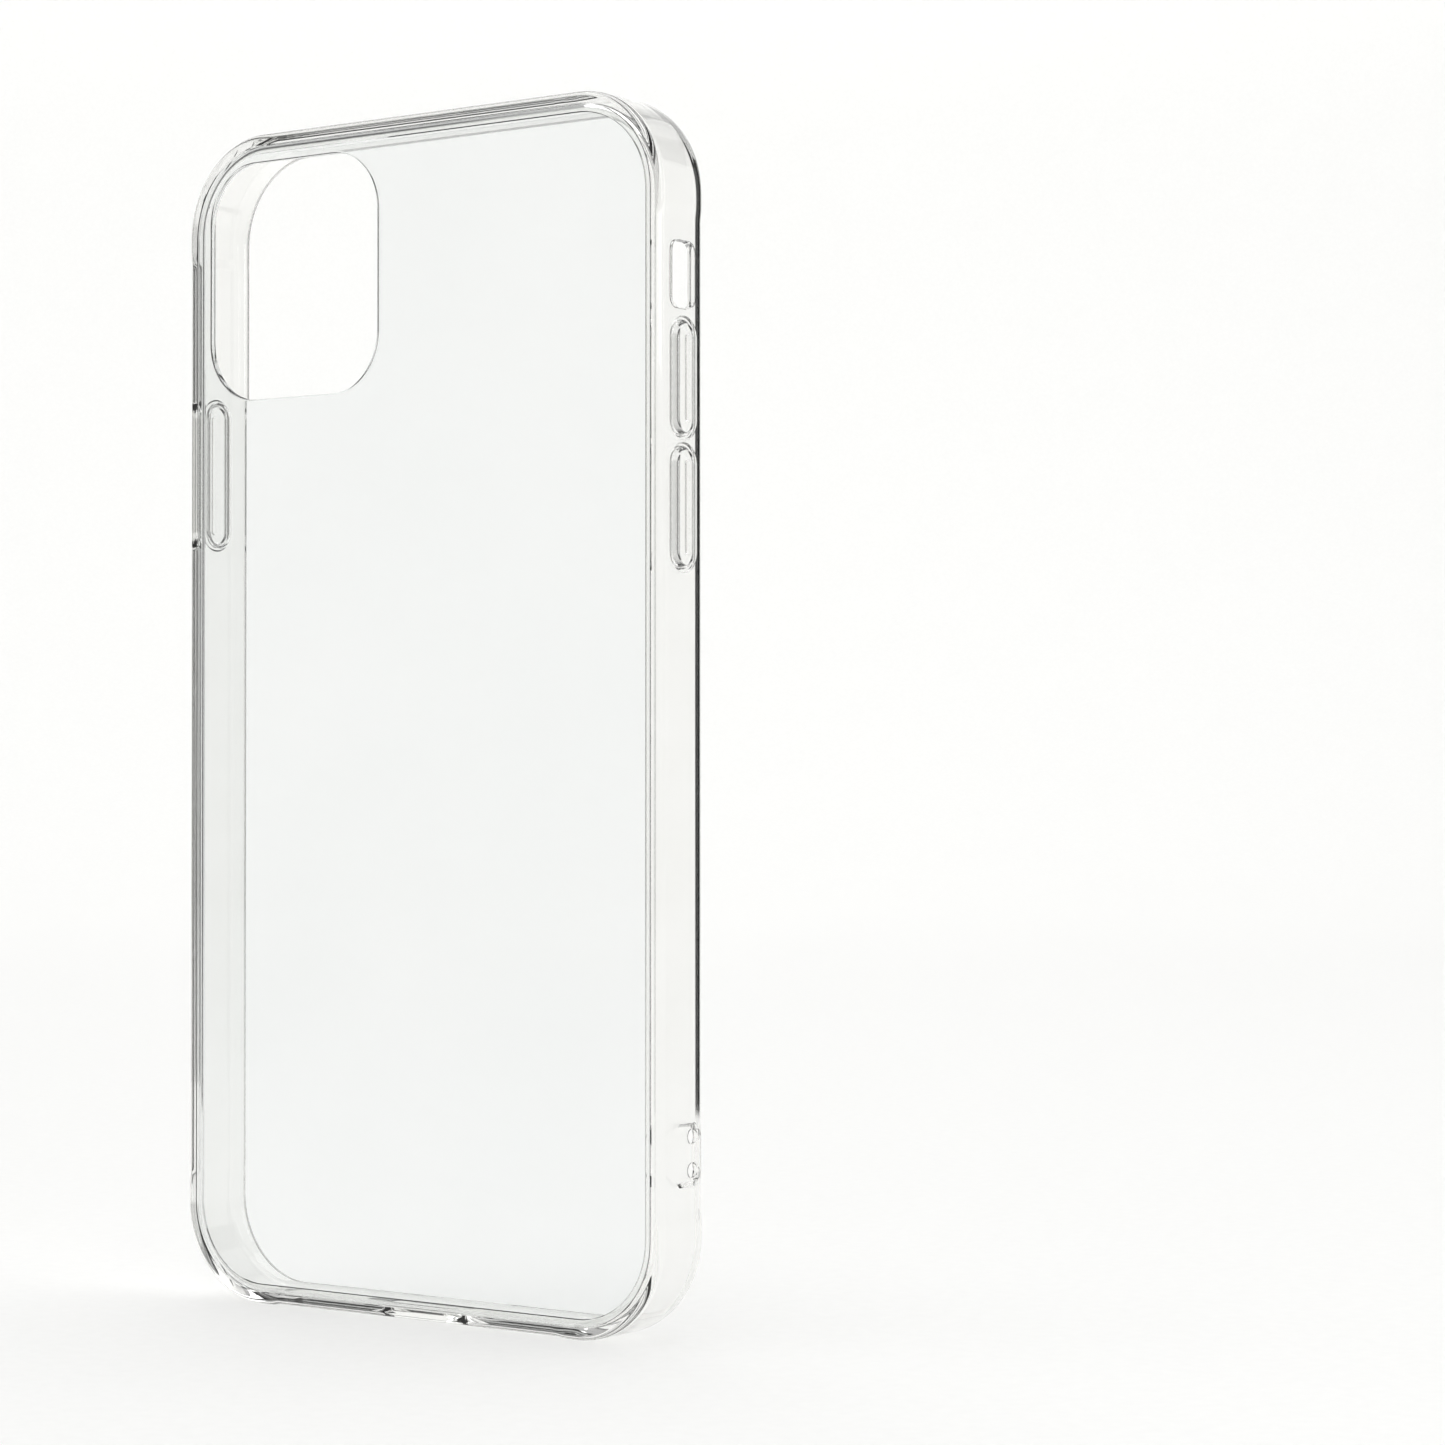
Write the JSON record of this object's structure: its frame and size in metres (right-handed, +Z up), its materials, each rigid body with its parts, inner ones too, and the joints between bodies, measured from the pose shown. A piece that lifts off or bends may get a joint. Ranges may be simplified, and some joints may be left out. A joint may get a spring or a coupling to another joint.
{
  "type": "phone case",
  "caption": "Clear protective phone case: hard flat back plate in a soft bumper ring with push-button covers, camera cut-out and lanyard bar.",
  "frame": {"origin": "middle of the base that the case stands on", "axes": "+Z up the case's height, -Y out of the back face, +X towards the volume buttons (right when seen from the back)"},
  "size_m": [0.0794, 0.0098, 0.1537],
  "materials": {
    "clear_hard_plate": "polished clear polycarbonate",
    "clear_soft_bumper": "glossy clear thermoplastic polyurethane"
  },
  "bodies": {
    "case": {"back_panel": "clear_hard_plate", "bumper_frame": "clear_soft_bumper", "power_button_web": "clear_soft_bumper", "volume_up_button_web": "clear_soft_bumper", "volume_down_button_web": "clear_soft_bumper"},
    "power_button": {"power_button_cover": "clear_soft_bumper"},
    "volume_up_button": {"volume_up_button_cover": "clear_soft_bumper"},
    "volume_down_button": {"volume_down_button_cover": "clear_soft_bumper"}
  },
  "joints": [
    {"name": "power_button_press", "type": "slide", "parent": "case", "child": "power_button", "axis": [1, 0, 0], "range_m": [0, 0.00035], "stiffness_N_per_m": 400, "deforming": ["power_button_web"]},
    {"name": "volume_up_button_press", "type": "slide", "parent": "case", "child": "volume_up_button", "axis": [-1, 0, 0], "range_m": [0, 0.00035], "stiffness_N_per_m": 400, "deforming": ["volume_up_button_web"]},
    {"name": "volume_down_button_press", "type": "slide", "parent": "case", "child": "volume_down_button", "axis": [-1, 0, 0], "range_m": [0, 0.00035], "stiffness_N_per_m": 400, "deforming": ["volume_down_button_web"]}
  ]
}
